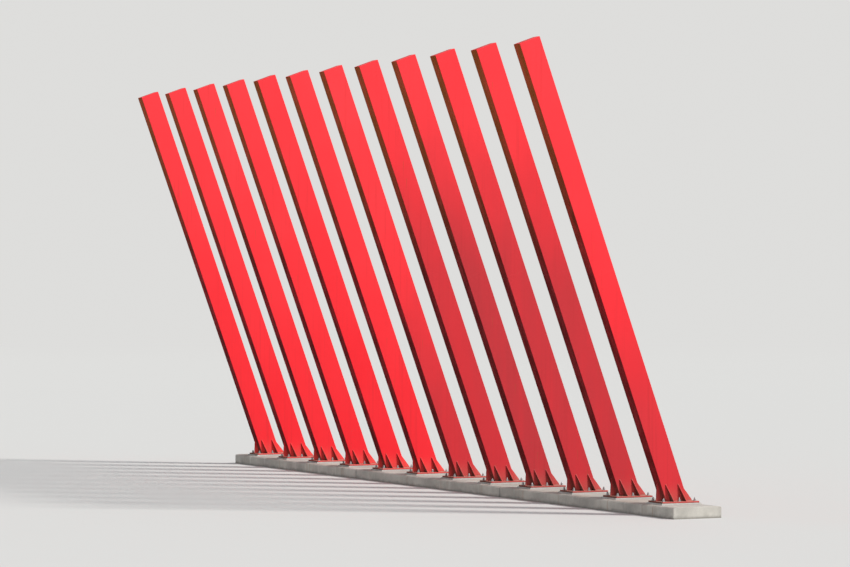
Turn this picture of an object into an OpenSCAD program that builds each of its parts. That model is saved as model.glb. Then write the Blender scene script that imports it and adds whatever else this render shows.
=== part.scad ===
// Roadside gateway: a straight row of leaning steel box beams on a low concrete plinth.
// Sizes are in millimetres. The row runs along Y, the beams lean towards -X and +Z is up.
// The origin is on the underside of the plinth, at its middle, which is at ground level.

/* [Row] */
// Cast lengths that make up the plinth
segment_count = 3; // [2:1:3]
// Beams that stand on each cast length
beams_per_segment = 4; // [2:1:5]
// Distance between neighbouring beams, centre to centre
beam_spacing = 2400; // [1600:50:3600]

/* [Beam] */
// Width of the broad face, in the plane that the beam leans in
beam_face_w = 600; // [450:10:800]
// Depth of the beam along the row
beam_depth = 340; // [180:10:420]
// Length along the axis, from the base plate to the square end cut
beam_length = 12300; // [5000:100:15000]
// Thickness of the four plates of the box
beam_wall = 12; // [6:1:20]
// Outside radius of the four long edges
beam_edge_r = 12; // [4:1:20]
// Lean from upright, in degrees
lean_deg = 20; // [8:1:24]

/* [Cap] */
// Thickness of the plate that closes the top end
cap_t = 12; // [6:1:30]
// Ledge that the cap leaves round its edge for the weld
cap_ledge = 6; // [2:1:20]

/* [Shoe] */
// Thickness of the base plate
base_plate_t = 40; // [20:5:80]
// Corner radius of the base plate
base_plate_corner_r = 25; // [5:5:60]
// Base plate left beyond the ends of the gussets
base_plate_margin = 25; // [10:5:60]
// Thickness of the gusset plates
gusset_t = 20; // [10:1:40]
// Height that the gussets reach up the beam
gusset_h = 450; // [250:10:800]
// Reach of the two gussets on the narrow faces
end_gusset_run = 200; // [150:10:350]
// Reach of the four gussets on the broad faces
side_gusset_run = 170; // [140:10:300]
// Distance between the two gussets on one broad face
side_gusset_spacing = 360; // [250:10:400]
// Height of the blunt outer end of a gusset
gusset_toe = 25; // [10:5:60]
// Width of the blunt upper end of a gusset
gusset_nose = 20; // [10:5:40]
// Corner cut off each gusset where two welds would cross
gusset_snipe = 25; // [10:5:40]

/* [Anchor holes] */
// Diameter of the clearance holes for the anchor bolts
anchor_hole_d = 42; // [26:1:50]
// Distance from a hole's centre to the edges of the base plate
anchor_edge = 90; // [65:5:110]

/* [Grout] */
// Thickness of the bed between base plate and plinth
grout_t = 40; // [20:5:80]
// Grout left beyond the base plate at the top of the bed
grout_margin = 25; // [10:5:60]
// Extra reach of the bed's sloping sides at the bottom
grout_batter = 20; // [5:5:60]

/* [Plinth] */
// Height of the plinth above the ground
plinth_h = 300; // [200:10:800]
// Concrete left beyond the grout beds on each side
plinth_margin = 115; // [60:5:400]
// Chamfer along the top edges
plinth_chamfer = 30; // [10:5:50]
// Drop of the top from the grout beds to the chamfer, to shed rain
plinth_fall = 15; // [5:5:40]
// Chamfer on the edges beside a joint and at the ends
joint_chamfer = 15; // [5:5:30]
// Width of the movement joints between cast lengths
joint_w = 20; // [10:1:40]
// Depth that the joint filler is set back from the concrete
joint_recess = 15; // [5:5:40]

/* [Hidden] */
$fn = 48;
beam_count = segment_count * beams_per_segment;
segment_pitch = beams_per_segment * beam_spacing;
segment_length = segment_pitch - joint_w;

function beam_y(i) = (i - (beam_count + 1) / 2) * beam_spacing;
function segment_y(i) = (i - (segment_count + 1) / 2) * segment_pitch;
function joint_y(i) = segment_y(i) + segment_pitch / 2;

// The foot is the level cut where the leaning box meets the base plate.
foot_half_w = beam_face_w / 2 / cos(lean_deg);
foot_overrun = beam_face_w / 2 * tan(lean_deg);

base_plate_l = 2 * (foot_half_w + end_gusset_run + base_plate_margin);
base_plate_w = 2 * (beam_depth / 2 + side_gusset_run + base_plate_margin);
anchor_x = base_plate_l / 2 - anchor_edge;
anchor_y = base_plate_w / 2 - anchor_edge;

grout_top_l = base_plate_l + 2 * grout_margin;
grout_top_w = base_plate_w + 2 * grout_margin;
grout_base_l = grout_top_l + 2 * grout_batter;
grout_base_w = grout_top_w + 2 * grout_batter;

plinth_w = grout_base_l + 2 * plinth_margin;
base_plate_z = plinth_h + grout_t;
foot_z = base_plate_z + base_plate_t;

// Taller and wider than anything that is cut level with it
clear_h = beam_length + gusset_h;
clear_w = 2 * (beam_length + beam_face_w);
hole_overrun = 1;

beam_red = "#d9323b";
shoe_red = "#b3252d";
concrete_grey = "#b7b3a8";
grout_grey = "#9c9a92";
filler_black = "#3b3a38";

function numbered(name, i) = str(name, "_", i < 10 ? "0" : "", i);

// Rectangle with round corners, centred
module round_rect(length, width, r) {
    square([length - 2 * r, width], center = true);
    square([length, width - 2 * r], center = true);
    for (x = [-1, 1], y = [-1, 1])
        translate([x * (length / 2 - r), y * (width / 2 - r)])
            circle(r);
}

// Everything above the level plane that the children stand on
module above_foot() {
    intersection() {
        children();
        translate([-clear_w / 2, -clear_w / 2, 0])
            cube([clear_w, clear_w, clear_h]);
    }
}

// Turns an upright child over so that it leans as the beams do
module leaning() {
    rotate([0, -lean_deg, 0]) children();
}

// Lays an outline drawn as (Y, Z) across the lean, centred on its thickness
module across_lean(t) {
    rotate([90, 0, 90])
        linear_extrude(t, center = true)
            children();
}

// Lays an outline drawn as (X, Z) along the lean, centred on its thickness
module along_lean(t) {
    rotate([90, 0, 0])
        linear_extrude(t, center = true)
            children();
}

// Welded box with square top end and level foot
module beam() {
    color(beam_red)
        above_foot()
            leaning()
                translate([0, 0, -foot_overrun])
                    linear_extrude(beam_length + foot_overrun)
                        difference() {
                            round_rect(beam_face_w, beam_depth, beam_edge_r);
                            square([beam_face_w - 2 * beam_wall, beam_depth - 2 * beam_wall], center = true);
                        }
}

// Plate welded over the open top end
module cap() {
    color(beam_red)
        leaning()
            translate([0, 0, beam_length])
                linear_extrude(cap_t)
                    round_rect(
                        beam_face_w - 2 * cap_ledge,
                        beam_depth - 2 * cap_ledge,
                        max(beam_edge_r - cap_ledge, 1)
                    );
}

// Base plate with six anchor holes: one at each corner, one halfway along each long side
module base_plate() {
    translate([0, 0, -base_plate_t])
        difference() {
            linear_extrude(base_plate_t)
                round_rect(base_plate_l, base_plate_w, base_plate_corner_r);
            for (x = [-anchor_x, 0, anchor_x], y = [-anchor_y, anchor_y])
                translate([x, y, -hole_overrun])
                    cylinder(d = anchor_hole_d, h = base_plate_t + 2 * hole_overrun);
        }
}

// Gusset square to a broad face, leaning with the beam
module side_gusset() {
    face = beam_depth / 2;
    above_foot()
        leaning()
            across_lean(gusset_t)
                polygon([
                    [face + gusset_snipe, -foot_overrun],
                    [face + side_gusset_run, -foot_overrun],
                    [face + side_gusset_run, gusset_toe],
                    [face + gusset_nose, gusset_h],
                    [face, gusset_h],
                    [face, gusset_snipe],
                    [face + gusset_snipe, 0]
                ]);
}

// Gusset on a narrow face, where side is -1 under the lean and 1 behind it
module end_gusset(side) {
    face = side * foot_half_w;
    shift = tan(lean_deg);
    along_lean(gusset_t)
        polygon([
            [face + side * gusset_snipe, 0],
            [face + side * end_gusset_run, 0],
            [face + side * end_gusset_run, gusset_toe],
            [face + side * gusset_nose - gusset_h * shift, gusset_h],
            [face - gusset_h * shift, gusset_h],
            [face - gusset_snipe * shift, gusset_snipe]
        ]);
}

// Base plate and its six gussets, welded into one piece
module shoe() {
    color(shoe_red) {
        base_plate();
        for (side = [-1, 1])
            end_gusset(side);
        for (x = [-1, 1] * side_gusset_spacing / 2, flip = [0, 1])
            mirror([0, flip, 0])
                translate([x, 0, 0])
                    side_gusset();
    }
}

// Grout bed with sloping sides under one base plate
module grout_bed() {
    color(grout_grey)
        intersection() {
            along_lean(grout_base_w)
                batter_outline(grout_base_l, grout_top_l);
            across_lean(grout_base_l)
                batter_outline(grout_base_w, grout_top_w);
        }
}

module batter_outline(base, top) {
    polygon([[-base / 2, 0], [base / 2, 0], [top / 2, grout_t], [-top / 2, grout_t]]);
}

// Cross section of the plinth, drawn smaller all round by an inset
module plinth_section(inset = 0) {
    side = plinth_w / 2 - inset;
    shelf = grout_base_l / 2;
    top = plinth_h - inset;
    polygon([
        [-side, 0],
        [side, 0],
        [side, top - plinth_fall - plinth_chamfer],
        [side - plinth_chamfer, top - plinth_fall],
        [shelf, top],
        [-shelf, top],
        [-side + plinth_chamfer, top - plinth_fall],
        [-side, top - plinth_fall - plinth_chamfer]
    ]);
}

// One cast length of the plinth, with chamfers down and across its two ends
module plinth() {
    half = segment_length / 2;
    end = half - joint_chamfer;
    side = plinth_w / 2;
    color(concrete_grey)
        intersection() {
            along_lean(segment_length)
                plinth_section();
            across_lean(plinth_w)
                polygon([
                    [-half, 0], [half, 0],
                    [half, plinth_h - joint_chamfer], [end, plinth_h],
                    [-end, plinth_h], [-half, plinth_h - joint_chamfer]
                ]);
            linear_extrude(plinth_h)
                polygon([
                    [side - joint_chamfer, -half], [side, -end], [side, end], [side - joint_chamfer, half],
                    [joint_chamfer - side, half], [-side, end], [-side, -end], [joint_chamfer - side, -half]
                ]);
        }
}

// Compressible board in one movement joint, set back from the concrete's faces
module joint_filler() {
    color(filler_black)
        along_lean(joint_w)
            plinth_section(joint_recess);
}

for (i = [1:beam_count]) {
    translate([0, beam_y(i), foot_z]) beam();
    translate([0, beam_y(i), foot_z]) cap();
    translate([0, beam_y(i), foot_z]) shoe();
}
for (i = [1:segment_count])
    translate([0, segment_y(i), 0]) plinth();
for (i = [1:beam_count]) translate([0, beam_y(i), plinth_h]) grout_bed();  // grout_beds
for (i = [1:segment_count - 1]) translate([0, joint_y(i), 0]) joint_filler();  // joint_fillers
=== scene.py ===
import math
import random

import bmesh
import bpy
from mathutils import Matrix, Vector, noise


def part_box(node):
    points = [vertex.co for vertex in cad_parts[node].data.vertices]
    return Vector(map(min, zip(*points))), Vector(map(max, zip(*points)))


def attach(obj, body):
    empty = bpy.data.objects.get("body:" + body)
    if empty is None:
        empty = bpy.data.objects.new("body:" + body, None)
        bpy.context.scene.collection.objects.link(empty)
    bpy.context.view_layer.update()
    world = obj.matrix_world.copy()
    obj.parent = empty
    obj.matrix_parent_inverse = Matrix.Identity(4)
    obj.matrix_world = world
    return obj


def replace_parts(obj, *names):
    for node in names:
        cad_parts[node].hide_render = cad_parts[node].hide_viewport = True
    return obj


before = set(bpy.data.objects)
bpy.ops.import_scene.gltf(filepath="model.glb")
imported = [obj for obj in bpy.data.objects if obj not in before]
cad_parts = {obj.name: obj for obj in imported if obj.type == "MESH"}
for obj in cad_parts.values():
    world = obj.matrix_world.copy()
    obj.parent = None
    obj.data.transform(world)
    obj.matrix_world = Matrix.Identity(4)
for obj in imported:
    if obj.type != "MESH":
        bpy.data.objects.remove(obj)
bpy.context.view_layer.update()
print("frame loaded:", len(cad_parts), "nodes")


# Row: every place is read from the frame, in metres. The beams stand along Y and lean towards -X.
def named(start):
    return sorted(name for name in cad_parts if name.startswith(start))


def middle(node):
    low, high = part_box(node)
    return (low + high) / 2


beamNames, capNames, shoeNames, plinthNames = (
    named(start) for start in ("beam_", "cap_", "shoe_", "plinth_")
)
beamLow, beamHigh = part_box(beamNames[0])
shoeLow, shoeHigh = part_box(shoeNames[0])
groutLow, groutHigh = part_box("grout_beds")
feet = [Vector((middle(n).x, middle(n).y, beamLow.z)) for n in shoeNames]
tops = [middle(n) for n in capNames]

upBeam = (tops[0] - feet[0]).normalized()  # along a beam's axis
acrossBeam = Vector((upBeam.z, 0, -upBeam.x))  # across a broad face
acrossRow, alongRow, upright = Vector((1, 0, 0)), Vector((0, 1, 0)), Vector((0, 0, 1))
lean = math.acos(upBeam.z)
footHalf = beamHigh.x - feet[0].x  # half the level foot, across the row
halfFace = footHalf * math.cos(lean)
halfDepth = (beamHigh.y - beamLow.y) / 2
beamLength = (beamHigh.z - beamLow.z - halfFace * math.sin(lean)) / math.cos(lean)
beamSpacing = feet[1].y - feet[0].y
edgeRadius = 0.012  # long edges of the beams
anchorInset = 0.090  # from an anchor bolt to the edges of the base plate
anchorX = (shoeHigh.x - shoeLow.x) / 2 - anchorInset
anchorY = (shoeHigh.y - shoeLow.y) / 2 - anchorInset


# Mesh helpers
def objectFrom(bm, name, material, smoothDeg=40, rides=True):
    bmesh.ops.recalc_face_normals(bm, faces=bm.faces)
    mesh = bpy.data.meshes.new(name)
    bm.to_mesh(mesh)
    bm.free()
    piece = bpy.data.objects.new(name, mesh)
    bpy.context.scene.collection.objects.link(piece)
    mesh.materials.append(material)
    mesh.shade_smooth()
    mesh.set_sharp_from_angle(angle=math.radians(smoothDeg))
    if rides:
        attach(piece, "root")
    return piece


def skinRings(bm, rings, ends="capped"):
    # ends are capped, open or joined
    made = [[bm.verts.new(p) for p in ring] for ring in rings]
    pairs = list(zip(made, made[1:]))
    if ends == "joined":
        pairs.append((made[-1], made[0]))
    count = len(made[0])
    for a, b in pairs:
        for i in range(count):
            bm.faces.new((a[i], a[(i + 1) % count], b[(i + 1) % count], b[i]))
    if ends == "capped":
        bm.faces.new(list(reversed(made[0])))
        bm.faces.new(made[-1])


def turned(radius, degrees, z=0.0):
    angle = math.radians(degrees)
    return Vector((radius * math.cos(angle), radius * math.sin(angle), z))


def roundLoop(halfA, halfB, axisA, axisB, radius, steps=3):
    # points and outward directions round a rectangle with round corners
    loop = []
    for signA, signB, first in ((1, 1, 0), (-1, 1, 90), (-1, -1, 180), (1, -1, 270)):
        corner = axisA * (signA * (halfA - radius)) + axisB * (signB * (halfB - radius))
        for k in range(steps + 1):
            turn = math.radians(first + 90 * k / steps)
            outward = axisA * math.cos(turn) + axisB * math.sin(turn)
            loop.append((corner + outward * radius, outward))
    return loop


def wander(at, scale, seed):
    # smooth noise from 0 to 1
    return 0.5 + 0.5 * noise.noise(at * scale + Vector((seed, seed * 2.0, seed * 3.0)))


# Node helpers. A noise is its scale, detail, roughness and stretch along each axis, and a band
# is where a ramp starts and ends and, if not 0 and 1, its values there.
def addNode(tree, kind, inputs=None, **settings):
    made = tree.nodes.new("ShaderNode" + kind)
    for key, value in settings.items():
        setattr(made, key, value)
    for key, value in (inputs or {}).items():
        if isinstance(value, bpy.types.NodeSocket):
            tree.links.new(value, made.inputs[key])
        else:
            made.inputs[key].default_value = value
    return made


def stretched(tree, place, stretch):
    return addNode(tree, "Mapping", {"Vector": place, "Scale": stretch}).outputs["Vector"]


def cloud(tree, place, scale, detail=3.0, roughness=0.5, stretch=None):
    if stretch:
        place = stretched(tree, place, stretch)
    sockets = {"Vector": place, "Scale": scale, "Detail": detail, "Roughness": roughness}
    return addNode(tree, "TexNoise", sockets).outputs["Fac"]


def calc(tree, operation, a, b=0.0, clamp=False):
    return addNode(tree, "Math", {0: a, 1: b}, operation=operation, use_clamp=clamp).outputs[0]


def times(tree, *values):
    product = values[0]
    for value in values[1:]:
        product = calc(tree, "MULTIPLY", product, value)
    return product


def plus(tree, *values, clamp=False):
    total = values[0]
    for value in values[1:]:
        total = calc(tree, "ADD", total, value, clamp)
    return total


def around(tree, value, amount):
    # turns 0 to 1 into a swing of half the amount to either side of nothing
    return calc(tree, "MULTIPLY", calc(tree, "SUBTRACT", value, 0.5), amount)


def roughOf(tree, look, value, *matt):
    # a finish's roughness, swung by a value from 0 to 1
    swing = around(tree, value, look["roughSwing"])
    return plus(tree, swing, *matt, look["roughness"], clamp=True)


def gapOf(tree, a, b):
    # how far two numbers are apart
    return calc(tree, "ABSOLUTE", calc(tree, "SUBTRACT", a, b))


def spread(tree, a, b):
    # how far a point is off in two directions together
    return calc(tree, "SQRT", plus(tree, times(tree, a, a), times(tree, b, b)))


def ramp(tree, value, start, end, low=0.0, high=1.0):
    sockets = {"Value": value, "From Min": start, "From Max": end, "To Min": low, "To Max": high}
    return addNode(tree, "MapRange", sockets, interpolation_type="SMOOTHSTEP").outputs["Result"]


def blended(tree, amount, under, over):
    made = addNode(tree, "Mix", data_type="RGBA", clamp_factor=True)
    for index, value in ((0, amount), (6, under), (7, over)):
        if isinstance(value, bpy.types.NodeSocket):
            tree.links.new(value, made.inputs[index])
        else:
            made.inputs[index].default_value = value
    return made.outputs[2]


def relief(tree, height, distance, below=None):
    sockets = {"Height": height, "Distance": distance}
    if below:
        sockets["Normal"] = below
    return addNode(tree, "Bump", sockets).outputs["Normal"]


def axesOf(tree, vector):
    return addNode(tree, "SeparateXYZ", {"Vector": vector}).outputs


def placeOf(tree):
    return addNode(tree, "TexCoord").outputs["Object"]


def facingOf(tree):
    # the way the surface looks, axis by axis
    return axesOf(tree, addNode(tree, "NewGeometry").outputs["Normal"])


def spotsOf(tree, place, scale, size, seed, rim=(0.03, -0.03)):
    # round spots, each with its own size, as pores or splashes
    moved = addNode(tree, "Mapping", {"Vector": place, "Location": (seed, seed, seed)})
    cells = addNode(tree, "TexVoronoi", {"Vector": moved.outputs["Vector"], "Scale": scale}).outputs
    edge = times(tree, axesOf(tree, cells["Color"])["X"], size)
    return ramp(tree, calc(tree, "SUBTRACT", cells["Distance"], edge), *rim)


def cornerShadeOf(tree, reach, samples=8, band=(0.95, 0.5)):
    # an occlusion mask for dirt and painted shade: 1 in a corner, 0 beyond the reach of it
    openness = addNode(tree, "AmbientOcclusion", {"Distance": reach}, samples=samples).outputs["AO"]
    return ramp(tree, openness, *band)


def fromBeam(tree, y):
    # distance along the row to the nearest beam's middle
    return calc(tree, "PINGPONG", calc(tree, "SUBTRACT", y, feet[0].y), beamSpacing / 2)


def beamTone(tree, y, seed):
    # a random number from 0 to 1 for each beam
    number = plus(tree, calc(tree, "FLOOR", calc(tree, "DIVIDE", y, beamSpacing)), seed)
    return addNode(tree, "TexWhiteNoise", {"W": number}, noise_dimensions="1D").outputs["Value"]


def newFinish(name, roughness, metallic=0.0, gloss=0.5):
    finish = bpy.data.materials.new(name)
    finish.use_nodes = True
    shader = finish.node_tree.nodes["Principled BSDF"]
    shader.inputs["Roughness"].default_value = roughness
    shader.inputs["Metallic"].default_value = metallic
    shader.inputs["Specular IOR Level"].default_value = gloss
    return finish, finish.node_tree, shader


def wire(tree, shader, colour, normal, rough=None):
    tree.links.new(colour, shader.inputs["Base Color"])
    tree.links.new(normal, shader.inputs["Normal"])
    if rough:
        tree.links.new(rough, shader.inputs["Roughness"])


def rgb(r, g, b):
    return (r, g, b, 1.0)


# Red paint: a satin coat on welded plate, faded towards the top, with painted shade on the narrow
# face under the lean and a painted shadow over some beams
paint = {
    "fresh": rgb(0.79, 0.021, 0.031),
    "faded": rgb(0.85, 0.046, 0.056),
    "streak": rgb(0.30, 0.022, 0.022),
    "underShadeLow": rgb(0.105, 0.001, 0.001),  # painted shade on the narrow face under the lean, near the foot
    "underShadeHigh": rgb(0.222, 0.053, 0.006),  # and near the top, where that painted shade is browner
    "rust": rgb(0.25, 0.085, 0.03),
    "roughness": 0.46,
    "roughSwing": 0.12,
    "dustMatt": 0.4,
    "underMatt": 0.3,
    "gloss": 0.10,
    "patchNoise": (0.5, 2.0),  # broad patches in which the coat has aged alike
    "fadeHeights": (0.5, 12.0, 0.1, 0.85),
    "fadePatches": 0.5,  # how much the fading differs from patch to patch
    "fadeBeams": 0.2,  # and from beam to beam
    "fadeSeed": 3.0,
    "streakNoise": (1.0, 5.0, 0.65, (14.0, 14.0, 0.2)),  # runs straight down
    "streakBand": (0.52, 0.68),
    "streakPatches": (0.35, 0.65, 0.35, 1.0),
    "streaking": 0.2,
    "grimeAndShadeNoise": (1.3, 5.0, 0.6, (3.0, 3.0, 0.5)),
    "underFacing": (-0.58, -0.76),  # by how far a face looks towards -X
    "underShadeBlotches": (0.3, 0.65, 0.78, 1.0),
    "underHeights": (5.5, 11.5),  # between these the painted shade turns browner
    "waveNoise": (1.7, 1.0, 0.5, (1.0, 1.0, 0.45)),
    "waveDepth": 0.0016,  # of the plates' slight waviness
    "peelNoise": (420.0, 2.0),
    "peelDepth": 0.00012,  # of the coat's fine texture
}

# Painted shadow: a soft shade that dulls some neighbouring beams, more on one than on another
paintedShadow = {
    "colour": rgb(0.455, 0.034, 0.042),
    "middle": -7.2,  # it lies round this place along the row
    "ends": (8.0, 5.5),  # this far from its middle it is gone, and this far it is full
    "drop": (3.0, 7.0, 0.0, 5.0),  # it starts lower on the beams towards its ends
    "heights": (11.2, 5.8),  # where it starts and where it is thickest
    "edgeNoise": (0.7, 3.0, 0.5, (1.0, 0.5, 0.6)),
    "edgeSwing": 3.0,  # how far its upper edge wanders
    "beamBand": (0.0, 1.0, 0.75, 1.0),
    "beamSeed": 40.0,
    "breakupNoise": (1.1, 4.0, 0.5, (2.0, 2.0, 0.3)),
    "breakupBand": (0.3, 0.6, 0.85, 1.0),
}


def paintedShadowMask(tree, place, axes):
    offMiddle = gapOf(tree, axes["Y"], paintedShadow["middle"])
    drop = ramp(tree, offMiddle, *paintedShadow["drop"])
    swing = around(tree, cloud(tree, place, *paintedShadow["edgeNoise"]), paintedShadow["edgeSwing"])
    below = ramp(tree, plus(tree, axes["Z"], drop, swing), *paintedShadow["heights"])
    onBeam = ramp(tree, beamTone(tree, axes["Y"], paintedShadow["beamSeed"]), *paintedShadow["beamBand"])
    brokenUp = ramp(tree, cloud(tree, place, *paintedShadow["breakupNoise"]), *paintedShadow["breakupBand"])
    return times(tree, ramp(tree, offMiddle, *paintedShadow["ends"]), below, onBeam, brokenUp)


# Dust: lies on what faces up, less of it high above the ground, and splashes up with the rain
dust = {
    "colour": rgb(0.40, 0.31, 0.24),
    "cornerDirtAndShade": rgb(0.085, 0.060, 0.045),  # dirt and painted shade in the corners
    "grainNoise": (90.0, 5.0, 0.7),
    "grainBand": (0.3, 0.7, 0.7, 1.0),
    "grimeBand": (0.2, 0.7, 0.6, 1.0),
    "facing": (0.25, 0.95, 0.0, 0.5),  # most lies on a level face
    "heights": (0.5, 5.0, 1.0, 0.25),
    "splashHeights": (1.05, 0.36),  # where splashes end and where they are thickest
    "splash": 0.24,
    "spots": (34.0, 0.22, 3.0),
    "spotting": 0.35,
}


def settledDust(tree, place, axes, facing, grimeAndShade, dustiness):
    grain = ramp(tree, cloud(tree, place, *dust["grainNoise"]), *dust["grainBand"])
    patchy = times(tree, grain, ramp(tree, grimeAndShade, *dust["grimeBand"]))
    lying = ramp(tree, facing["Z"], *dust["facing"])
    lying = times(tree, lying, ramp(tree, axes["Z"], *dust["heights"]))
    splash = ramp(tree, axes["Z"], *dust["splashHeights"])
    spots = times(tree, spotsOf(tree, place, *dust["spots"]), dust["spotting"])
    splash = times(tree, splash, splash, plus(tree, spots, dust["splash"]))
    return times(tree, plus(tree, lying, splash), patchy, dustiness)


# Stone chips: ragged, thick near the ground, and rusted in the middle of most of them
stones = {
    "primer": rgb(0.17, 0.115, 0.10),  # grey primer with dirt in it
    "scale": 24.0,  # cells to a metre that may hold a chip
    "size": 0.17,  # radius of the largest chip, as a share of a cell
    "rimNoise": (300.0, 3.0),
    "rimSwing": 0.14,
    "rim": (0.01, -0.02),
    "rustRim": (-0.01, -0.04),
    "missed": (2.4, 0.36, 1.0, 0.6),  # share of the cells with no chip, by height
    "clean": 0.3,  # share of the chips with no rust
    "depth": 0.0003,
}


def stoneChips(tree, place, axes):
    # the chips, and the rust in them
    cells = addNode(tree, "TexVoronoi", {"Vector": place, "Scale": stones["scale"]}).outputs
    pick = axesOf(tree, cells["Color"])
    swing = around(tree, cloud(tree, place, *stones["rimNoise"]), stones["rimSwing"])
    size = times(tree, pick["X"], stones["size"])
    fromRim = calc(tree, "SUBTRACT", plus(tree, cells["Distance"], swing), size)
    struck = calc(tree, "GREATER_THAN", pick["Y"], ramp(tree, axes["Z"], *stones["missed"]))
    rusting = calc(tree, "GREATER_THAN", pick["Z"], stones["clean"])
    chip = times(tree, ramp(tree, fromRim, *stones["rim"]), struck)
    return chip, times(tree, ramp(tree, fromRim, *stones["rustRim"]), struck, rusting)


# Rust weeps: thin runs, each below a pinhole in the coat, with sizes as shares of a tall cell
weeps = {
    "stretch": (5.0, 5.0, 0.9),
    "width": (0.055, 0.01),
    "length": (-0.42, 0.0),
    "strength": 0.5,
}


def rustWeeps(tree, place):
    tall = stretched(tree, place, weeps["stretch"])
    cells = addNode(tree, "TexVoronoi", {"Vector": tall, "Scale": 1.0}).outputs
    fromHole = addNode(tree, "VectorMath", {0: tall, 1: cells["Position"]}, operation="SUBTRACT")
    off = axesOf(tree, fromHole.outputs[0])
    aside = ramp(tree, spread(tree, off["X"], off["Y"]), *weeps["width"])
    down = ramp(tree, off["Z"], *weeps["length"])
    return times(tree, aside, down, calc(tree, "LESS_THAN", off["Z"], 0.0), weeps["strength"])


# Long welds: close the box along both edges of each narrow face, ground nearly flush
longWeld = {"inset": 0.012, "width": (0.005, 0.0015), "facing": (0.8, 0.92), "height": 0.0012}


def longWelds(tree, axes, facing):
    fromWeld = gapOf(tree, halfDepth - longWeld["inset"], fromBeam(tree, axes["Y"]))
    onNarrow = ramp(tree, calc(tree, "ABSOLUTE", facing["X"]), *longWeld["facing"])
    return times(tree, ramp(tree, fromWeld, *longWeld["width"]), onNarrow)


# Wear on the shoes: dirt and painted shade in the corners, rust round the washers, chips along the
# cut edges
shoeWear = {
    "cornerReach": 0.05,  # how far dirt and painted shade spread out of a corner
    "cornerGrimeAndShade": (0.3, 0.6, 0.35, 0.7),
    "ring": (0.082, 0.045),  # this far from a bolt rust ends, and this far it is thickest
    "ringNoise": (28.0, 5.0),
    "ringSwing": 0.06,  # how far its rim wanders
    "ringBelow": 0.02,  # it stays within these of the base plate's top
    "ringAbove": 0.05,
    "ringRust": 0.65,
    "primer": rgb(0.36, 0.35, 0.33),
    "chipNoise": (60.0, 5.0, 0.65),
    "chipBand": (0.53, 0.55),
    "rustBand": (0.60, 0.63),
}


def washerRust(tree, place, axes):
    absX = calc(tree, "ABSOLUTE", axes["X"])
    offX = calc(tree, "MINIMUM", absX, gapOf(tree, absX, anchorX))  # three bolts to a side
    offY = calc(tree, "SUBTRACT", fromBeam(tree, axes["Y"]), anchorY)
    swing = around(tree, cloud(tree, place, *shoeWear["ringNoise"]), shoeWear["ringSwing"])
    ring = ramp(tree, plus(tree, spread(tree, offX, offY), swing), *shoeWear["ring"])
    above = ramp(tree, axes["Z"], feet[0].z - shoeWear["ringBelow"], feet[0].z)
    below = ramp(tree, axes["Z"], feet[0].z + shoeWear["ringAbove"], feet[0].z)
    return times(tree, ring, above, below, shoeWear["ringRust"])


def wornShoe(tree, place, axes, grimeAndShade, colour):
    # dirt and painted shade in the corners
    cornerDirtAndShade = cornerShadeOf(tree, shoeWear["cornerReach"])
    cornerDirtAndShade = times(tree, cornerDirtAndShade, ramp(tree, grimeAndShade, *shoeWear["cornerGrimeAndShade"]))
    colour = blended(tree, cornerDirtAndShade, colour, dust["cornerDirtAndShade"])
    colour = blended(tree, washerRust(tree, place, axes), colour, paint["rust"])
    edge = addNode(tree, "Attribute", attribute_name="edgeWear").outputs["Fac"]
    chips = cloud(tree, place, *shoeWear["chipNoise"])
    bare = times(tree, edge, ramp(tree, chips, *shoeWear["chipBand"]))
    rusted = times(tree, edge, ramp(tree, chips, *shoeWear["rustBand"]))
    colour = blended(tree, bare, colour, shoeWear["primer"])
    return blended(tree, rusted, colour, paint["rust"])


def agedAndShadedRed(tree, place, axes, patches):
    # fading grows with height, in broad patches, a little differently on each beam
    byBeam = beamTone(tree, axes["Y"], paint["fadeSeed"])
    fade = plus(
        tree,
        ramp(tree, axes["Z"], *paint["fadeHeights"]),
        around(tree, patches, paint["fadePatches"]),
        around(tree, byBeam, paint["fadeBeams"]),
        clamp=True,
    )
    colour = blended(tree, fade, paint["fresh"], paint["faded"])
    # a painted shadow dulls some neighbouring beams
    colour = blended(tree, paintedShadowMask(tree, place, axes), colour, paintedShadow["colour"])

    # rain streaks show more in some patches than in others
    streaks = ramp(tree, cloud(tree, place, *paint["streakNoise"]), *paint["streakBand"])
    streaks = times(tree, streaks, ramp(tree, patches, *paint["streakPatches"]), paint["streaking"])
    return blended(tree, streaks, colour, paint["streak"])


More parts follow.
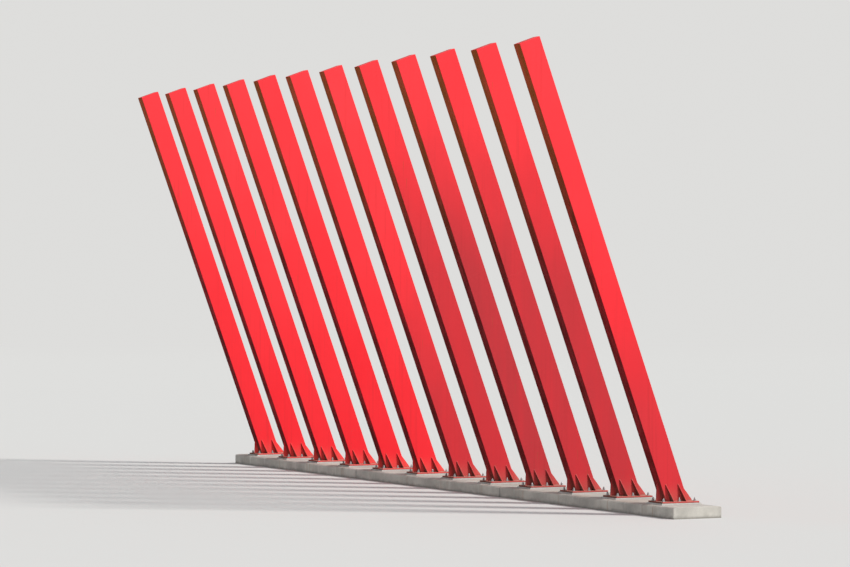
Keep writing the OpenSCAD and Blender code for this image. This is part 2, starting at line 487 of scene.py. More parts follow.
def redPaint(name, dustiness=1.0, onShoe=False):
    finish, tree, shader = newFinish(name, paint["roughness"], gloss=paint["gloss"])
    place, facing = placeOf(tree), facingOf(tree)
    axes = axesOf(tree, place)
    patches = cloud(tree, place, *paint["patchNoise"])
    grimeAndShade = cloud(tree, place, *paint["grimeAndShadeNoise"])
    colour = agedAndShadedRed(tree, place, axes, patches)

    # painted shade: the narrow face under the lean is darkened, in blotches, browner higher up
    shadeBlotches = ramp(tree, grimeAndShade, *paint["underShadeBlotches"])
    under = times(tree, ramp(tree, facing["X"], *paint["underFacing"]), shadeBlotches)
    browner = ramp(tree, axes["Z"], *paint["underHeights"])
    underShadeColour = blended(tree, browner, paint["underShadeLow"], paint["underShadeHigh"])
    colour = blended(tree, under, colour, underShadeColour)

    chip, rusted = stoneChips(tree, place, axes)
    colour = blended(tree, chip, colour, stones["primer"])
    colour = blended(tree, rusted, colour, paint["rust"])
    colour = blended(tree, rustWeeps(tree, place), colour, paint["rust"])
    dusty = settledDust(tree, place, axes, facing, grimeAndShade, dustiness)
    colour = blended(tree, dusty, colour, dust["colour"])
    if onShoe:
        colour = wornShoe(tree, place, axes, grimeAndShade, colour)

    matt = plus(tree, times(tree, dusty, paint["dustMatt"]), times(tree, under, paint["underMatt"]))
    rough = roughOf(tree, paint, patches, matt)
    plate = relief(tree, cloud(tree, place, *paint["waveNoise"]), paint["waveDepth"])
    if not onShoe:
        plate = relief(tree, longWelds(tree, axes, facing), longWeld["height"], plate)
    plate = relief(tree, calc(tree, "SUBTRACT", 1.0, chip), stones["depth"], plate)
    coat = relief(tree, cloud(tree, place, *paint["peelNoise"]), paint["peelDepth"], plate)
    wire(tree, shader, colour, coat, rough)
    return finish


beamPaint = redPaint("beamPaint")
shoePaint = redPaint("shoePaint", dustiness=1.2, onShoe=True)
print("paint mixed")


# Concrete: cast against ply, pored, damp at the ground and stained below the steel, with painted
# shade in the pores and corners
concrete = {
    "light": rgb(0.54, 0.52, 0.475),
    "dark": rgb(0.36, 0.345, 0.315),
    "poreShade": rgb(0.12, 0.115, 0.10),
    "crack": rgb(0.16, 0.155, 0.14),
    "rust": rgb(0.30, 0.15, 0.07),
    "lime": rgb(0.70, 0.69, 0.66),
    "damp": rgb(0.19, 0.185, 0.165),
    "roughness": 0.86,
    "roughSwing": 0.15,
    "gloss": 0.35,
    "broadNoise": (1.3, 6.0, 0.62),
    "grainNoise": (110.0, 3.0, 0.6),
    "grainShare": 0.28,  # of the mottling that comes from fine grain
    "mottleBand": (0.34, 0.66),
    "groupNoise": (2.6, 2.0),  # large pores stand in groups
    "groupBand": (0.47, 0.6),
    "largePores": (19.0, 0.12, 0.0),
    "smallPores": (52.0, 0.11, 9.0),
    "smallBand": (0.4, 0.6),
    "poreShadeAmount": 0.6,
    "crackScale": 0.7,
    "crackBend": 0.35,  # how far the cracks wander, as a share of a cell
    "bendScale": 3.0,  # waves of that wandering to a cell
    "bendDetail": 4.0,
    "crackWidth": 0.0014,
    "crackBand": (0.5, 0.6),
    "cracking": 0.45,
    "cornerReach": 0.07,  # how far dirt and painted shade spread out of a corner
    "cornerBand": (0.35, 0.6, 0.3, 0.65),
    "stainNoise": (1.0, 4.0, 0.6, (8.0, 8.0, 0.5)),
    "stainBand": (0.5, 0.68, 0.0, 0.4),
    "stainReach": (0.55, 0.15),  # from a beam's middle, where stains end and are thickest
    "limeNoise": (1.3, 4.0, 0.5, (5.0, 5.0, 0.8)),
    "limeBand": (0.6, 0.74, 0.0, 0.3),
    "flatFacing": (0.9, 0.99),
    "tideNoise": (5.0, 5.0, 0.5, (1.0, 1.0, 0.4)),
    "tideSwing": 0.2,  # how far the top of the damp wanders
    "dampHeights": (0.10, 0.0, 0.0, 0.55),
    "siltNoise": (0.9, 5.0),  # left by puddles
    "siltBand": (0.45, 0.62, 0.0, 0.35),
    "waveDepth": 0.004,
    "broomNoise": (1.3, 2.0, 0.5, (1.0, 110.0, 1.0)),  # broomed across the row while wet
    "broomDepth": 0.0018,
    "grainHeight": 0.3,  # as a share of a pore's depth
    "poreDepth": 0.0022,
}
mortar = {
    "light": rgb(0.47, 0.46, 0.44),
    "dark": rgb(0.33, 0.325, 0.31),
    "crackScale": 3.0,
    "cracking": 0.7,
}


def castPores(tree, place, broad):
    groups = ramp(tree, cloud(tree, place, *concrete["groupNoise"]), *concrete["groupBand"])
    large = times(tree, spotsOf(tree, place, *concrete["largePores"]), groups)
    small = spotsOf(tree, place, *concrete["smallPores"])
    small = times(tree, small, ramp(tree, broad, *concrete["smallBand"]))
    return calc(tree, "MAXIMUM", large, small)


def hairCracks(tree, place, scale):
    # the edges of large cells, bent by a noise
    bendScale, detail = scale * concrete["bendScale"], concrete["bendDetail"]
    waves = addNode(tree, "TexNoise", {"Vector": place, "Scale": bendScale, "Detail": detail})
    sockets = {0: waves.outputs["Color"], "Scale": concrete["crackBend"] / scale}
    bend = addNode(tree, "VectorMath", sockets, operation="SCALE").outputs[0]
    bent = addNode(tree, "VectorMath", {0: place, 1: bend}, operation="ADD").outputs[0]
    cells = addNode(tree, "TexVoronoi", {"Vector": bent, "Scale": scale}, feature="DISTANCE_TO_EDGE")
    return ramp(tree, cells.outputs["Distance"], concrete["crackWidth"] * scale, 0.0)


def runOff(tree, place, axes, colour):
    # rust from the steel, strongest in front of each foot, and lime from the concrete itself
    rusty = ramp(tree, cloud(tree, place, *concrete["stainNoise"]), *concrete["stainBand"])
    close = ramp(tree, fromBeam(tree, axes["Y"]), *concrete["stainReach"])
    colour = blended(tree, times(tree, close, rusty), colour, concrete["rust"])
    limed = ramp(tree, cloud(tree, place, *concrete["limeNoise"]), *concrete["limeBand"])
    return blended(tree, limed, colour, concrete["lime"])


def dampAndSilt(tree, place, axes, flat, colour):
    tide = around(tree, cloud(tree, place, *concrete["tideNoise"]), concrete["tideSwing"])
    damp = ramp(tree, plus(tree, axes["Z"], tide), *concrete["dampHeights"])
    colour = blended(tree, damp, colour, concrete["damp"])
    silt = ramp(tree, cloud(tree, place, *concrete["siltNoise"]), *concrete["siltBand"])
    return blended(tree, times(tree, flat, silt), colour, dust["colour"])


def castFinish(name, mix, onPlinth=True):
    finish, tree, shader = newFinish(name, concrete["roughness"], gloss=concrete["gloss"])
    place = placeOf(tree)
    axes = axesOf(tree, place)
    broad = cloud(tree, place, *concrete["broadNoise"])
    grain = cloud(tree, place, *concrete["grainNoise"])
    share = concrete["grainShare"]
    mottled = plus(tree, times(tree, broad, 1 - share), times(tree, grain, share))
    colour = blended(tree, ramp(tree, mottled, *concrete["mottleBand"]), mix["dark"], mix["light"])

    pores = castPores(tree, place, broad)
    # the pores are darkened with painted shade
    colour = blended(tree, times(tree, pores, concrete["poreShadeAmount"]), colour, concrete["poreShade"])
    cracks = hairCracks(tree, place, mix["crackScale"])
    cracks = times(tree, cracks, ramp(tree, broad, *concrete["crackBand"]), mix["cracking"])
    colour = blended(tree, cracks, colour, concrete["crack"])
    # dirt and painted shade in the corners
    cornerDirtAndShade = cornerShadeOf(tree, concrete["cornerReach"])
    cornerDirtAndShade = times(tree, cornerDirtAndShade, ramp(tree, broad, *concrete["cornerBand"]))
    colour = blended(tree, cornerDirtAndShade, colour, dust["cornerDirtAndShade"])
    colour = runOff(tree, place, axes, colour)

    rough = roughOf(tree, concrete, broad)
    skin = relief(tree, broad, concrete["waveDepth"])
    if onPlinth:
        flat = ramp(tree, facingOf(tree)["Z"], *concrete["flatFacing"])
        colour = dampAndSilt(tree, place, axes, flat, colour)
        broomed = times(tree, cloud(tree, place, *concrete["broomNoise"]), flat)
        skin = relief(tree, broomed, concrete["broomDepth"], skin)
    pitted = calc(tree, "SUBTRACT", times(tree, grain, concrete["grainHeight"]), pores)
    wire(tree, shader, colour, relief(tree, pitted, concrete["poreDepth"], skin), rough)
    return finish


plinthConcrete = castFinish("plinthConcrete", concrete)
groutMortar = castFinish("groutMortar", mortar, onPlinth=False)


# Joints: dark fibre board between the cast lengths, and grey sealant over it
board = {
    "dark": rgb(0.03, 0.027, 0.024),
    "light": rgb(0.085, 0.075, 0.062),
    "roughness": 0.9,
    "noise": (160.0, 4.0, 0.5, (1.0, 1.0, 4.0)),  # fibres that lie flat
    "depth": 0.001,
}
putty = {
    "dark": rgb(0.10, 0.10, 0.098),
    "light": rgb(0.22, 0.215, 0.205),
    "roughness": 0.6,
    "noise": (18.0, 4.0),
    "depth": 0.002,
}


def jointFinish(name, look):
    finish, tree, shader = newFinish(name, look["roughness"])
    mottle = cloud(tree, placeOf(tree), *look["noise"])
    colour = blended(tree, mottle, look["dark"], look["light"])
    wire(tree, shader, colour, relief(tree, mottle, look["depth"]))
    return finish


# Zinc: dipped bolts, spangled, with rust weeping out
zinc = {
    "bright": rgb(0.56, 0.57, 0.58),
    "dull": rgb(0.34, 0.35, 0.355),
    "rust": rgb(0.27, 0.12, 0.05),
    "roughness": 0.45,
    "roughSwing": 0.14,
    "rustMatt": 0.5,
    "metallic": 0.75,
    "spangleScale": 120.0,
    "rustNoise": (34.0, 4.0),
    "rustBand": (0.55, 0.72, 0.0, 0.6),
    "grainNoise": (210.0, 3.0),
    "grainDepth": 0.0004,
}


def zincCoat():
    finish, tree, shader = newFinish("zincCoat", zinc["roughness"], metallic=zinc["metallic"])
    place = placeOf(tree)
    crystals = addNode(tree, "TexVoronoi", {"Vector": place, "Scale": zinc["spangleScale"]})
    spangle = axesOf(tree, crystals.outputs["Color"])["X"]
    colour = blended(tree, spangle, zinc["dull"], zinc["bright"])
    rusty = ramp(tree, cloud(tree, place, *zinc["rustNoise"]), *zinc["rustBand"])
    colour = blended(tree, rusty, colour, zinc["rust"])
    rough = roughOf(tree, zinc, spangle, times(tree, rusty, zinc["rustMatt"]))
    grain = relief(tree, cloud(tree, place, *zinc["grainNoise"]), zinc["grainDepth"])
    wire(tree, shader, colour, grain, rough)
    return finish


boardFinish = jointFinish("fibreBoard", board)
sealantFinish = jointFinish("jointSealant", putty)
boltFinish = zincCoat()
print("concrete, mortar, board, sealant and zinc mixed")


# Solids that keep their shape: the beams and the filler boards
def paintNode(name, finish):
    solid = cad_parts[name]
    solid.data.materials.clear()
    solid.data.materials.append(finish)


for name in beamNames:
    paintNode(name, beamPaint)
paintNode("joint_fillers", boardFinish)
print("beams and filler boards painted")


# Shoes and caps: the solids with their cut edges eased
easing = {
    "shoe": 0.003,
    "cap": 0.0015,
    "segments": 2,
    "edgeDeg": 35,  # edges sharper than this are eased
    "flatDeg": 1,  # faces that turn less than this become one
    "samePoint": 0.00005,
    "noLength": 0.00001,
}


def easedCopy(node, name, finish, width):
    bm = bmesh.new()
    bm.from_mesh(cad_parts[node].data)
    wear = bm.faces.layers.float.new("edgeWear")  # the shoes' paint reads it
    bmesh.ops.remove_doubles(bm, verts=bm.verts, dist=easing["samePoint"])
    flat, sharp = math.radians(easing["flatDeg"]), math.radians(easing["edgeDeg"])
    bmesh.ops.dissolve_limit(bm, angle_limit=flat, verts=bm.verts, edges=bm.edges)
    edges = [e for e in bm.edges if e.is_manifold and e.calc_face_angle() > sharp]
    eased = bmesh.ops.bevel(
        bm, geom=edges, offset=width, offset_type="OFFSET", segments=easing["segments"],
        profile=0.5, affect="EDGES", clamp_overlap=True,
    )
    for face in eased["faces"]:
        face[wear] = 1.0
    bmesh.ops.dissolve_degenerate(bm, dist=easing["noLength"], edges=bm.edges)
    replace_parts(objectFrom(bm, name, finish, smoothDeg=30), node)


for shoeName, capName in zip(shoeNames, capNames):
    number = shoeName[-2:]
    easedCopy(shoeName, "shoePlates_" + number, shoePaint, easing["shoe"])
    easedCopy(capName, "topPlate_" + number, beamPaint, easing["cap"])
print("shoes and caps eased")


# Welds: rippled fillet beads swept along the joints
weld = {
    "footLeg": 0.014,
    "gussetLeg": 0.010,
    "capLeg": 0.0045,
    "pitch": 0.012,  # distance between ripples
    "ripple": 0.2,  # how far a ripple stands out, as a share of the leg
    "uneven": 0.04,
    "endSize": 0.5,  # where a bead starts and stops
    # section of a bead, as shares of its leg along the two plates
    "outline": [(-0.12, -0.12), (1.0, -0.04), (0.86, 0.36), (0.64, 0.64), (0.36, 0.86), (-0.04, 1.0)],
    "smoothDeg": 70,
    "seed": 11,
}
gusset = {  # sizes as in the solids
    "thickness": 0.020,
    "height": 0.450,
    "sideRun": 0.170,
    "endRun": 0.200,
    "sideSpacing": 0.360,
    "snipe": 0.025,
}


def runBead(bm, stops, leg, chance, joined=False):
    # each stop is a point on the joint and the directions of the two plates away from it
    stations = []
    onward = stops[1:] + stops[:1] if joined else stops[1:]
    for stop, after in zip(stops, onward):
        steps = max(3, round(2 * (after[0] - stop[0]).length / weld["pitch"]))  # crests and hollows
        for k in range(steps):
            at, sideA, sideB = (start.lerp(end, k / steps) for start, end in zip(stop, after))
            stations.append((at, sideA.normalized(), sideB.normalized()))
    if not joined:
        stations.append(stops[-1])
    rings = []
    for k, (at, sideA, sideB) in enumerate(stations):
        size = leg * (1 + weld["ripple"] * (k % 2) + chance.uniform(-weld["uneven"], weld["uneven"]))
        if not joined and k in (0, len(stations) - 1):
            size *= weld["endSize"]
        rings.append([at + sideA * (a * size) + sideB * (b * size) for a, b in weld["outline"]])
    skinRings(bm, rings, ends="joined" if joined else "capped")


def boxedBead(bm, start, end, flank, half, side, endSide, chance):
    # along one face of a gusset, round its blunt end and back along the other face
    onward, aside = (end - start).normalized(), flank * half
    stops = [
        (start - aside, -flank, side),
        (end - aside, -flank, side),
        (end - aside, onward, endSide),
        (end + aside, onward, endSide),
        (end + aside, flank, side),
        (start + aside, flank, side),
    ]
    runBead(bm, stops, weld["gussetLeg"], chance)


def footBead(bm, foot, chance):
    stops = []
    for point, outward in roundLoop(footHalf, halfDepth, acrossRow, alongRow, edgeRadius):
        rise = upright.lerp(upBeam, abs(outward.x)).normalized()
        stops.append((foot + point, outward, rise))
    runBead(bm, stops, weld["footLeg"], chance, joined=True)


def gussetBeads(bm, foot, chance):
    # two gussets on each broad face, then one on each narrow face
    half = gusset["thickness"] / 2
    for x in (-gusset["sideSpacing"] / 2, gusset["sideSpacing"] / 2):
        for out in (-alongRow, alongRow):
            root = foot + acrossRow * x + out * halfDepth
            low, high = root + upBeam * gusset["snipe"], root + upBeam * gusset["height"]
            boxedBead(bm, low, high, acrossBeam, half, out, out, chance)
            near, far = root + out * gusset["snipe"], root + out * gusset["sideRun"]
            boxedBead(bm, near, far, acrossRow, half / upBeam.z, upBeam, upBeam, chance)
    for out in (-acrossRow, acrossRow):
        root = foot + out * footHalf
        low, high = (root + upBeam * (gusset[k] / upBeam.z) for k in ("snipe", "height"))
        boxedBead(bm, low, high, alongRow, half, acrossBeam * out.x, out, chance)
        near, far = root + out * gusset["snipe"], root + out * gusset["endRun"]
        boxedBead(bm, near, far, alongRow, half, upright, upright, chance)


for i, foot in enumerate(feet, start=1):
    chance = random.Random(weld["seed"] + i)
    bm = bmesh.new()
    footBead(bm, foot, chance)
    gussetBeads(bm, foot, chance)
    objectFrom(bm, f"footWelds_{i:02d}", shoePaint, smoothDeg=weld["smoothDeg"])


def capBeads():
    chance = random.Random(weld["seed"])
    capLow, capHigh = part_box(capNames[0])
    capHalf = (capHigh.y - capLow.y) / 2
    ledge = halfDepth - capHalf
    bm = bmesh.new()
    for foot in feet:
        base = foot + upBeam * beamLength
        loop = roundLoop(halfFace - ledge, capHalf, acrossBeam, alongRow, edgeRadius - ledge)
        stops = [(base + point, outward, upBeam) for point, outward in loop]
        runBead(bm, stops, weld["capLeg"], chance, joined=True)
    objectFrom(bm, "capWelds", beamPaint, smoothDeg=weld["smoothDeg"])


# Splices: a butt weld round each beam at half its length, ground nearly flush
splice = {
    "at": 0.5,
    "half": 0.009,  # half its width
    "proud": 0.0016,
    "sunk": 0.002,  # how deep its edges run into the plates
    "grid": 0.03,
    "ground": (0.6, 1.1),  # share of its height that the grinder leaves
    "slip": 0.0012,  # how far it strays up and down the beam
    "seed": 23,
}


def spliceRings():
    chance = random.Random(splice["seed"])
    half, proud, sunk, slip = splice["half"], splice["proud"], splice["sunk"], splice["slip"]
    side = [(half / 2, proud), (half, 0), (half, -sunk)]
    section = [(-s, h) for s, h in reversed(side)] + side
    loop = roundLoop(halfFace, halfDepth, acrossBeam, alongRow, edgeRadius, steps=4)
    bm = bmesh.new()
    for foot in feet:
        middleOfBeam = foot + upBeam * (beamLength * splice["at"])
        rings = []
        for (start, startOut), (end, endOut) in zip(loop, loop[1:] + loop[:1]):
            steps = max(1, round((end - start).length / splice["grid"]))
            for k in range(steps):
                outward = startOut.lerp(endOut, k / steps)
                ground, off = chance.uniform(*splice["ground"]), chance.uniform(-slip, slip)
                at = middleOfBeam + start.lerp(end, k / steps) + upBeam * off
                rings.append([at + upBeam * s + outward * (h * ground) for s, h in section])
        skinRings(bm, rings, ends="joined")
    objectFrom(bm, "spliceWelds", beamPaint, smoothDeg=60)


capBeads()
spliceRings()
print("welds run; beams are", round(beamLength, 3), "m long")


# Anchor bolts: plate washer, nut, lock nut and threaded end
anchor = {
    "washer": 0.080,
    "washerThickness": 0.010,
    "washerCorner": 0.004,
    "washerEase": 0.0015,
    "washerTwist": 0.06,
    "acrossFlats": 0.055,
    "nutHeight": 0.029,
    "lockHeight": 0.018,
    "nutChamfer": 0.0022,
    "nutFace": 0.95,  # round face of a nut, as a share of the distance across its flats
    "rodRadius": 0.018,
    "rodSides": 16,
    "rodEase": (0.003, 0.002),  # inwards and up
    "threadPitch": 0.004,
    "threadDepth": 0.0013,
    "threadShares": (0.15, 0.5, 0.65),  # root and both edges of the crest, as shares of the pitch
    "stickOut": 0.032,
    "stickOutSwing": 0.008,
    "seed": 5,
}


def plateWasher(bm, at, turn):
    half, thick, ease = anchor["washer"] / 2, anchor["washerThickness"], anchor["washerEase"]
    swing = Matrix.Rotation(turn, 3, "Z")
    rings = []
    for z, inset in ((0, 0), (thick - ease, 0), (thick, ease)):
        side = half - inset
        loop = roundLoop(side, side, acrossRow, alongRow, anchor["washerCorner"], steps=2)
        rings.append([at + swing @ point + upright * z for point, outward in loop])
    skinRings(bm, rings)


def hexNut(bm, at, height, turn):
    # a ring's points are the six corners and the middles of the flats
    flat, chamfer = anchor["acrossFlats"] / 2, anchor["nutChamfer"]
    point = flat / math.cos(math.radians(30))
    face = flat * anchor["nutFace"]
    rings = []
    for z, atPoint, atFlat in (
        (0, flat, face),
        (chamfer, point, flat),
        (height - chamfer, point, flat),
        (height, flat, face),
    ):
        rings.append([at + turned(atFlat if k % 2 else atPoint, turn + 30 * k, z) for k in range(12)])
    skinRings(bm, rings)


def threadedEnd(bm, at, length):
    # each turn of thread is a ridge with a flat crest and a sharp root
    crest, pitch = anchor["rodRadius"], anchor["threadPitch"]
    root = crest - anchor["threadDepth"]
    ridge = list(zip((root, crest, crest), anchor["threadShares"]))
    ridges = int(length / pitch)
    profile = [(root, 0)]
    for k in range(ridges):
        profile += [(r, pitch * (k + share)) for r, share in ridge]
    inwards, up = anchor["rodEase"]
    profile += [(root, pitch * ridges), (root - inwards, pitch * ridges + up)]
    sides = anchor["rodSides"]
    skinRings(bm, [[at + turned(r, 360 * k / sides, z) for k in range(sides)] for r, z in profile])


def anchorBolt(bm, at, chance):
    twist, swing = anchor["washerTwist"], anchor["stickOutSwing"]
    plateWasher(bm, at, chance.uniform(-twist, twist))
    at = at + upright * anchor["washerThickness"]
    for height in (anchor["nutHeight"], anchor["lockHeight"]):
        hexNut(bm, at, height, chance.uniform(0, 60))
        at = at + upright * height
    threadedEnd(bm, at, anchor["stickOut"] + chance.uniform(-swing, swing))


for i, foot in enumerate(feet, start=1):
    chance = random.Random(anchor["seed"] + i)
    bm = bmesh.new()
    for x in (-anchorX, 0, anchorX):
        for y in (-anchorY, anchorY):
            anchorBolt(bm, foot + Vector((x, y, 0)), chance)
    objectFrom(bm, f"anchorBolts_{i:02d}", boltFinish)
print("anchor bolts set")


# Plinth: a cast skin with small undulations, fins between the form panels and chipped edges
plinth = {
    "chamfer": 0.030,
    "fall": 0.015,
    "endCut": 0.015,
    "gridAlong": 0.06,
    "gridRound": 0.05,
    "edgeBand": 0.012,  # narrow strip beside each edge, so that chips stay small
    "undulation": 0.0016,
    "waveScale": 1.9,
    "panel": 1.2,  # length of the form panels
    "finHeight": 0.0012,
    "finHalf": 0.002,
    "finInset": 0.0002,  # from a fin's tip to the solid's face
    "onSeam": 0.0005,  # a point this close to a seam is on its fin's tip
    "chips": 18,
    "chipFree": 0.1,  # stretch with no chips at each end
    "chipLength": (0.012, 0.045),
    "chipDepth": (0.003, 0.010),
    "chipReach": 0.4,  # to either side of a chip's middle, as a share of its length
    "chipRows": (-0.5, -0.2, 0.15, 0.5),  # rows of points over a chip, as shares of its length
    "rowGap": 0.012,  # other rows keep this far off those of fins and chips
    "leastGap": 0.0015,
    "seed": 3,
}


def castOutline(high, inset=0.0, cut=0.0):
    # section from ground to ground over the top, smaller by an inset or cut back at an end
    side, top = high.x - inset, high.z - inset
    edge = top - plinth["fall"]
    half = [
        Vector((side - cut, 0, 0)),
        Vector((side - cut, 0, edge - plinth["chamfer"] + cut)),
        Vector((side - plinth["chamfer"], 0, edge)),
        Vector((groutHigh.x, 0, top - cut)),
    ]
    return half + [Vector((-p.x, 0, p.z)) for p in reversed(half)]


def outlineShares(outline):
    # where each stretch of an outline is split, as shares of its length
    band = plinth["edgeBand"]
    shares = []
    for start, end in zip(outline, outline[1:]):
        length = (end - start).length
        inner = length - 2 * band
        count = max(1, round(inner / plinth["gridRound"]))
        shares.append([0.0] + [(band + inner * k / count) / length for k in range(count + 1)])
    return shares


def splitOutline(outline, shares):
    points = []
    for start, end, cuts in zip(outline, outline[1:], shares):
        points += [start.lerp(end, t) for t in cuts]
    return points + [outline[-1]]


def inwardOf(points, i):
    # square to the outline, into the concrete
    before, after = points[max(i - 1, 0)], points[min(i + 1, len(points) - 1)]
    return Vector((before.z - after.z, 0, after.x - before.x)).normalized()


def chipList(low, high, edges, chance):
    chips = []
    for _ in range(plinth["chips"]):
        edge = chance.choice(edges)
        y = chance.uniform(low.y + plinth["chipFree"], high.y - plinth["chipFree"])
        length, depth = chance.uniform(*plinth["chipLength"]), chance.uniform(*plinth["chipDepth"])
        chips.append((edge, y, length, depth))
    return chips


def stationList(low, high, seams, chips):
    # rows of points stand at the fins and chips, and evenly between them
    fixed = [y + d for y in seams for d in (-plinth["finHalf"], 0, plinth["finHalf"])]
    fixed += [y + length * share for _, y, length, _ in chips for share in plinth["chipRows"]]
    first, last = low.y + plinth["endCut"], high.y - plinth["endCut"]
    count = round((last - first) / plinth["gridAlong"])
    grid = [first + (last - first) * k / count for k in range(count + 1)]
    clear = [g for g in grid if all(abs(g - f) > plinth["rowGap"] for f in fixed)]
    stations = []
    for y in sorted(fixed + clear):
        if not stations or y - stations[-1] > plinth["leastGap"]:
            stations.append(y)
    return stations


def skinDepth(at, edge, formed, seams, chips):
    # how far the cast skin lies inside the solid at a point
    wave = wander(at, plinth["waveScale"], plinth["seed"])
    depth = plinth["finHeight"] + plinth["undulation"] * wave
    if formed and any(abs(at.y - seam) < plinth["onSeam"] for seam in seams):
        depth = plinth["finInset"]
    for chipEdge, y, length, chipDepth in chips:
        if edge == chipEdge and abs(at.y - y) < length * plinth["chipReach"]:
            depth += chipDepth
    return depth


def castLength(node, number):
    low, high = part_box(node)
    chance = random.Random(plinth["seed"] + number)
    outline = castOutline(high)
    shares = outlineShares(outline)
    skin = splitOutline(outline, shares)
    endSkin = splitOutline(castOutline(high, cut=plinth["endCut"]), shares)
    corners = [sum(len(s) for s in shares[:k]) for k in range(len(shares))]
    chamferEdges = [corners[k] for k in (1, 2, 5, 6)]
    # the forms shape the sides and chamfers, and the top is finished by hand
    formed = [i < chamferEdges[1] or i > chamferEdges[2] for i in range(len(skin))]
    panels = round((high.y - low.y) / plinth["panel"])
    seams = [low.y + plinth["panel"] * k for k in range(1, panels)]
    chips = chipList(low, high, chamferEdges, chance)
    rings = [[p + alongRow * low.y for p in endSkin]]
    for y in stationList(low, high, seams, chips):
        ring = [p + alongRow * y for p in skin]
        for i, at in enumerate(ring):
            if i not in (0, len(ring) - 1):  # these two stay on the ground
                ring[i] = at + inwardOf(skin, i) * skinDepth(at, i, formed[i], seams, chips)
        rings.append(ring)
    rings.append([p + alongRow * high.y for p in endSkin])
    bm = bmesh.new()
    skinRings(bm, rings)
    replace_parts(objectFrom(bm, f"castPlinth_{number:02d}", plinthConcrete, smoothDeg=24), node)


for number, node in enumerate(plinthNames, start=1):
    castLength(node, number)
print("plinth cast")


# Grout beds: trowelled by hand, so the slopes wander a little
grout = {
    "batter": 0.020,
    "grid": 0.03,
    "wander": 0.006,
    "waveScale": 9.0,
    # height and inset of each ring, as shares of the bed's thickness and batter
    "levels": [
        (-0.1, 0.0), (0.25, 0.25), (0.5, 0.5), (0.75, 0.75),
        (0.93, 1.0), (1.0, 1.3), (1.0, 2.1),
    ],
    "seed": 9,
}


def groutBed(bm, foot, number):
    halfLong, halfWide = groutHigh.x, groutHigh.y - feet[-1].y
    rings = []
    for level, inset in grout["levels"]:
        a, b = halfLong - inset * grout["batter"], halfWide - inset * grout["batter"]
        z = groutLow.z + (groutHigh.z - groutLow.z) * level
        corners = [Vector((a, -b, 0)), Vector((a, b, 0)), Vector((-a, b, 0)), Vector((-a, -b, 0))]
        ring = []
        for k, (start, end) in enumerate(zip(corners, corners[1:] + corners[:1])):
            steps = round(2 * (halfLong if k % 2 else halfWide) / grout["grid"])
            for s in range(steps):
                p = start.lerp(end, s / steps)
                at = Vector((foot.x + p.x, foot.y + p.y, z))
                if 0 < level < 1:
                    pull = grout["wander"] * wander(at, grout["waveScale"], grout["seed"] + number)
                    at -= Vector((p.x / a, p.y / b, 0)) * pull
                ring.append(at)
        rings.append(ring)
    skinRings(bm, rings)


bm = bmesh.new()
for i, foot in enumerate(feet):
    groutBed(bm, foot, i)
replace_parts(objectFrom(bm, "trowelledBeds", groutMortar), "grout_beds")
print("grout trowelled")


# Joint sealant: a hollow bead over each filler board, up the sides and across the top
sealant = {
    "setBack": 0.008,
    "hollow": 0.004,
    "thickness": 0.007,
    "overlap": 0.0005,
    # places across the joint, and how deep the hollow is there
    "section": [(0, 0), (0.25, 0.75), (0.5, 1), (0.75, 0.75), (1, 0)],
}


def sealJoint(number):
    # each ring crosses the joint over the hollow face and comes back behind it
    before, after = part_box(plinthNames[number])[1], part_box(plinthNames[number + 1])[0]
    shares = outlineShares(castOutline(before))
    outer = splitOutline(castOutline(before, sealant["setBack"]), shares)
    inner = splitOutline(castOutline(before, sealant["setBack"] + sealant["thickness"]), shares)
    left, right = before.y - sealant["overlap"], after.y + sealant["overlap"]
    rings = []
    for i, (p, deep) in enumerate(zip(outer, inner)):
        inward = inwardOf(outer, i)
        ring = []
        for t, dip in sealant["section"]:
            across = alongRow * (left + (right - left) * t)
            ring.append(p + inward * (sealant["hollow"] * dip) + across)
        rings.append(ring + [deep + alongRow * right, deep + alongRow * left])
    bm = bmesh.new()
    skinRings(bm, rings)
    objectFrom(bm, f"jointSealant_{number + 1:02d}", sealantFinish, smoothDeg=50)


for number in range(len(plinthNames) - 1):
    sealJoint(number)
print("joints sealed")


# Studio: a wide pale bowl, one soft key light and even light from all round
studio = {
    "centre": 0.01,  # radius of the small hole in the middle
    "floorRadius": 240.0,
    "sweep": 60.0,
    "sweepSteps": 12,
    "sides": 128,
    "roughness": 0.95,
    "floorColour": rgb(0.62, 0.62, 0.61),
    "glow": rgb(0.730, 0.727, 0.714),  # far out the paper shines as bright as the lit floor
    "glowStart": 120.0,
    "glowFull": 225.0,
    "worldColour": rgb(0.86, 0.90, 0.95),
    "worldStrength": 0.55,
    "keyAzimuth": 38.0,
    "keyElevation": 40.0,
    "keyStrength": 3.4,
    "keyAngle": 11.0,
    "keyColour": (1.0, 0.97, 0.93),
}


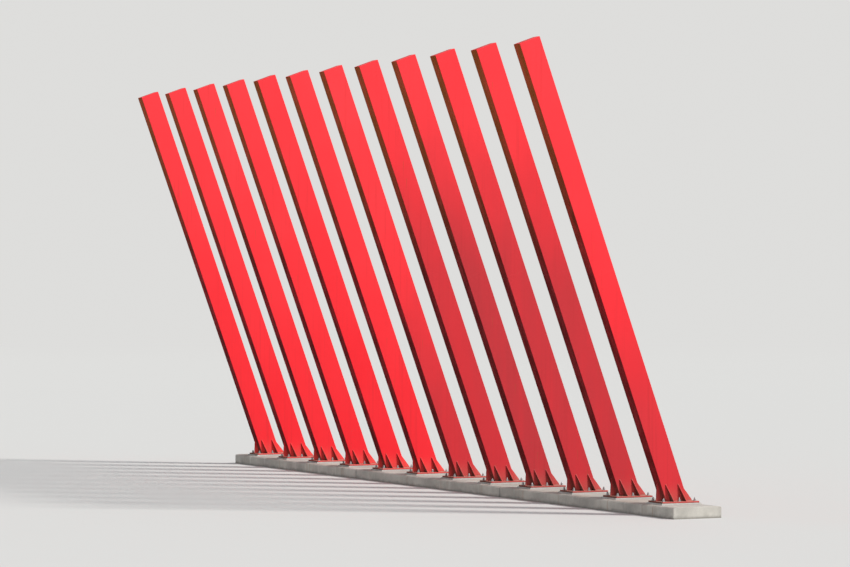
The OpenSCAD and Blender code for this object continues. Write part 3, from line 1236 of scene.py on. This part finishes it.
def studioBowl():
    finish, tree, shader = newFinish("studioPaper", studio["roughness"], gloss=0.0)
    level = stretched(tree, placeOf(tree), (1, 1, 0))
    reach = addNode(tree, "VectorMath", {0: level}, operation="LENGTH").outputs["Value"]
    far = ramp(tree, reach, studio["glowStart"], studio["glowFull"])
    paper = blended(tree, far, studio["floorColour"], rgb(0, 0, 0))
    tree.links.new(paper, shader.inputs["Base Color"])
    shader.inputs["Emission Color"].default_value = studio["glow"]
    tree.links.new(far, shader.inputs["Emission Strength"])

    radius, sweep = studio["floorRadius"], studio["sweep"]
    steps, sides = studio["sweepSteps"], studio["sides"]
    profile = [(studio["centre"], 0.0), (radius, 0.0)]
    for k in range(1, steps + 1):
        turn = math.radians(90 * k / steps)
        profile.append((radius + sweep * math.sin(turn), sweep * (1 - math.cos(turn))))
    bm = bmesh.new()
    rings = [[turned(out, 360 * k / sides, z) for k in range(sides)] for out, z in profile]
    skinRings(bm, rings, ends="open")
    objectFrom(bm, "studioBowl", finish, smoothDeg=60, rides=False)


def levelTowards(degrees):
    # from -Y round towards +X
    turn = math.radians(degrees)
    return Vector((math.sin(turn), -math.cos(turn), 0))


def aimed(name, data, back):
    # lights and cameras look down their own -Z, so +Z points back
    made = bpy.data.objects.new(name, data)
    made.rotation_mode = "QUATERNION"
    made.rotation_quaternion = back.to_track_quat("Z", "Y")
    bpy.context.scene.collection.objects.link(made)
    return made


def studioLight():
    world = bpy.data.worlds.new("studioWorld")
    bpy.context.scene.world = world
    world.use_nodes = True
    backdrop = world.node_tree.nodes["Background"]
    backdrop.inputs["Color"].default_value = studio["worldColour"]
    backdrop.inputs["Strength"].default_value = studio["worldStrength"]
    light = bpy.data.lights.new("keyLight", "SUN")
    light.energy = studio["keyStrength"]
    light.angle = math.radians(studio["keyAngle"])
    light.color = studio["keyColour"]
    rise = math.radians(studio["keyElevation"])
    towards = levelTowards(studio["keyAzimuth"]) * math.cos(rise) + upright * math.sin(rise)
    aimed("keyLight", light, towards)


camera = {
    "azimuth": -25.6,
    "distance": 95.0,
    "eyeHeight": 5.9,
    "lens": 140.0,
    "sensor": 36.0,
    "clipEnd": 2000.0,
    "target": Vector((-0.95, -0.55, 0)),
}


def setCamera():
    optics = bpy.data.cameras.new("camera")
    optics.lens = camera["lens"]
    optics.sensor_width = camera["sensor"]
    optics.clip_end = camera["clipEnd"]
    back = levelTowards(camera["azimuth"])
    eye = aimed("camera", optics, back)
    eye.location = camera["target"] + back * camera["distance"] + upright * camera["eyeHeight"]
    bpy.context.scene.camera = eye


studioBowl()
studioLight()
setCamera()
bpy.context.scene.view_settings.view_transform = "Standard"
print("studio and camera ready")
